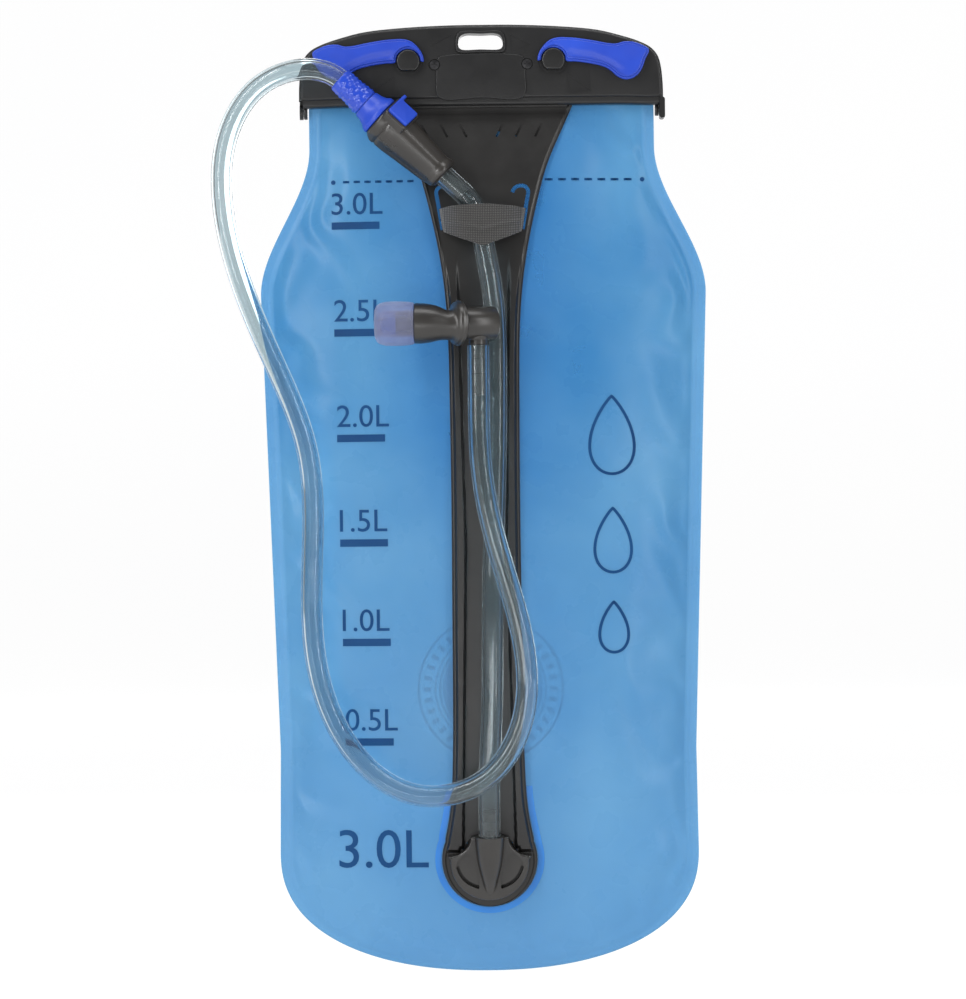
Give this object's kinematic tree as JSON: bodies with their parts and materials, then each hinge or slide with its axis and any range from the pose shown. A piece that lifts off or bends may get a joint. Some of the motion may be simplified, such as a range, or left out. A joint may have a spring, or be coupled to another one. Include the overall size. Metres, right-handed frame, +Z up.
{
  "type": "hydration bladder",
  "caption": "Translucent flat water bladder with a two-jaw lever closure, central spine panel, quick-release drink tube and swivelling bite valve.",
  "frame": {"origin": "centre of the hanger slot in the closure bar, in the plane of the weld seam", "axes": "+Z up along the bag, front of the bag faces -Y, +X to the right seen from the front"},
  "size_m": [0.2168, 0.0702, 0.4154],
  "materials": {
    "front_film": "translucent blue welded film, satin",
    "back_film": "translucent blue welded film, satin",
    "jaw_black": "black moulded plastic, fine texture",
    "cover_black": "black moulded plastic, satin",
    "screw_steel": "blackened steel",
    "pin_steel": "plain steel",
    "seal_rubber": "silicone cord",
    "lever_blue": "royal blue moulded plastic, satin",
    "shaft_black": "black moulded plastic",
    "spine_black": "black flexible moulding, satin",
    "port_black": "black moulded plastic",
    "o_ring": "o-ring",
    "elbow_grey": "charcoal moulded plastic",
    "webbing": "black woven webbing",
    "tube_clear": "clear flexible tube",
    "socket_grey": "charcoal moulded plastic",
    "poppet_white": "white acetal",
    "spring_steel": "stainless spring wire",
    "button_blue": "royal blue moulded plastic",
    "plug_blue": "royal blue moulded plastic",
    "sleeve_blue": "royal blue dimpled rubber",
    "valve_grey": "charcoal moulded plastic",
    "silicone": "frosted silicone"
  },
  "bodies": {
    "reservoir": {"front_film": "front_film", "back_film": "back_film", "front_jaw": "jaw_black", "front_cover": "cover_black", "cover_screws": "screw_steel", "hinge_pins": "pin_steel", "spine_panel": "spine_black", "port_flange": "port_black", "port_o_ring": "o_ring", "outlet_elbow": "elbow_grey", "tube_strap": "webbing", "feed_tube": "tube_clear", "socket_body": "socket_grey", "socket_tail": "socket_grey"},
    "rear_jaw": {"rear_jaw": "jaw_black", "mouth_seal": "seal_rubber", "back_film_mouth": "back_film"},
    "lever_right": {"lever_right": "lever_blue", "latch_shaft_right": "shaft_black"},
    "lever_left": {"lever_left": "lever_blue", "latch_shaft_left": "shaft_black"},
    "release_button": {"release_button": "button_blue", "button_springs": "spring_steel"},
    "valve_poppet": {"valve_poppet": "poppet_white", "poppet_o_ring": "o_ring", "poppet_spring": "spring_steel"},
    "hose": {"connector_plug": "plug_blue", "plug_o_ring": "o_ring", "strain_relief": "sleeve_blue", "drink_tube": "tube_clear", "valve_barrel": "valve_grey"},
    "bite_elbow": {"bite_elbow": "valve_grey", "elbow_o_ring": "o_ring", "bite_mouthpiece": "silicone"}
  },
  "joints": [
    {"name": "rear_jaw_swing", "type": "hinge", "parent": "reservoir", "child": "rear_jaw", "pos_m": [0, 0, -0.0295], "axis": [-1, 0, 0], "range_deg": [0, 65]},
    {"name": "lever_right_turn", "type": "hinge", "parent": "reservoir", "child": "lever_right", "pos_m": [0.0318, 0, -0.0085], "axis": [0, -1, 0], "range_deg": [0, 75]},
    {"name": "lever_left_turn", "type": "hinge", "parent": "reservoir", "child": "lever_left", "pos_m": [-0.0318, 0, -0.0085], "axis": [0, 1, 0], "range_deg": [0, 75]},
    {"name": "button_press", "type": "slide", "parent": "reservoir", "child": "release_button", "axis": [-0.4849, 0.7069, -0.5149], "range_m": [0, 0.0022], "deforming": ["button_springs"]},
    {"name": "plug_slide", "type": "slide", "parent": "reservoir", "child": "hose", "axis": [-0.7278, 0, 0.6858], "range_m": [0, 0.016]},
    {"name": "poppet_slide", "type": "slide", "parent": "reservoir", "child": "valve_poppet", "axis": [-0.7278, 0, 0.6858], "range_m": [0, 0.004], "deforming": ["poppet_spring"]},
    {"name": "bite_elbow_twist", "type": "hinge", "parent": "hose", "child": "bite_elbow", "pos_m": [-0.0025, -0.0382, -0.1243], "axis": [-0.9272, -0.3746, 0], "range_deg": [0, 90]}
  ],
  "couplings": [
    {"joint": "poppet_slide", "follows": "plug_slide", "ratio": 0.25}
  ]
}
